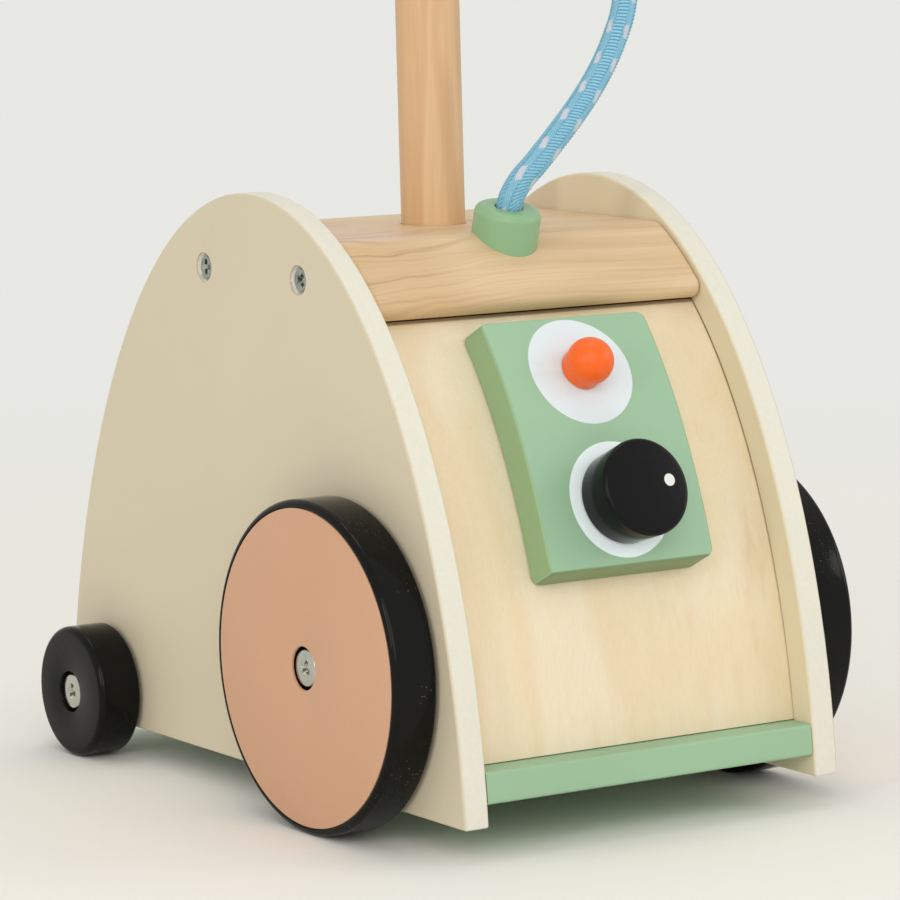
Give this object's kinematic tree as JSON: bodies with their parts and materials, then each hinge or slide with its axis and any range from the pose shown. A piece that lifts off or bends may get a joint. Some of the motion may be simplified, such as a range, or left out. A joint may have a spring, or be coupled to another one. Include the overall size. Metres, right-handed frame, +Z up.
{
  "type": "toy vacuum cleaner",
  "caption": "Wooden push-along toy vacuum cleaner: arched body between painted side panels, large front and small rear wheels, turning knob, ball button, upright handle and rope hose.",
  "frame": {"origin": "on the floor, under the middle of the toy's box", "axes": "+Z up along the push rod, -Y is the front with the knob, +X is the toy's right as it is seen from the front"},
  "size_m": [0.17, 0.2335, 0.5029],
  "materials": {
    "cream": "painted beige, satin",
    "honey": "oiled honey-coloured solid wood",
    "ply": "clear-lacquered pale plywood and pale wood",
    "sage": "painted sage green, satin",
    "black": "painted black, semi-gloss",
    "peach": "painted peach, satin",
    "orange": "painted orange, semi-gloss",
    "rope": "braided light blue cord",
    "zinc": "zinc plated"
  },
  "bodies": {
    "body": {"side_panel_left": "cream", "side_panel_right": "cream", "top_block": "honey", "base_board": "sage", "front_axle_rail": "ply", "front_panel": "ply", "rear_panel": "ply", "control_plate": "sage", "ball_button": "orange", "push_rod": "honey", "crossbar": "honey", "rope_collar": "sage", "rope": "rope", "front_washer_left": "zinc", "front_bolt_left": "zinc", "front_washer_right": "zinc", "front_bolt_right": "zinc", "rear_washer_left": "zinc", "rear_bolt_left": "zinc", "rear_washer_right": "zinc", "rear_bolt_right": "zinc", "panel_screw_left_front": "zinc", "panel_screw_left_rear": "zinc", "panel_screw_right_front": "zinc", "panel_screw_right_rear": "zinc"},
    "front_wheel_left": {"front_wheel_left": "black", "front_wheel_face_left": "peach"},
    "front_wheel_right": {"front_wheel_right": "black", "front_wheel_face_right": "peach"},
    "rear_wheel_left": {"rear_wheel_left": "black"},
    "rear_wheel_right": {"rear_wheel_right": "black"},
    "knob": {"knob": "black", "knob_shaft": "ply", "knob_washer": "zinc", "knob_screw": "zinc"}
  },
  "joints": [
    {"name": "front_wheel_left_roll", "type": "hinge", "parent": "body", "child": "front_wheel_left", "pos_m": [-0.0692, -0.05424, 0.05], "axis": [1, 0, 0], "continuous": true},
    {"name": "front_wheel_right_roll", "type": "hinge", "parent": "body", "child": "front_wheel_right", "pos_m": [0.0692, -0.05424, 0.05], "axis": [1, 0, 0], "continuous": true},
    {"name": "rear_wheel_left_roll", "type": "hinge", "parent": "body", "child": "rear_wheel_left", "pos_m": [-0.0692, 0.08926, 0.021], "axis": [1, 0, 0], "continuous": true},
    {"name": "rear_wheel_right_roll", "type": "hinge", "parent": "body", "child": "rear_wheel_right", "pos_m": [0.0692, 0.08926, 0.021], "axis": [1, 0, 0], "continuous": true},
    {"name": "knob_turn", "type": "hinge", "parent": "body", "child": "knob", "pos_m": [0, -0.09828, 0.09817], "axis": [0, -0.9317, 0.3631], "continuous": true}
  ]
}
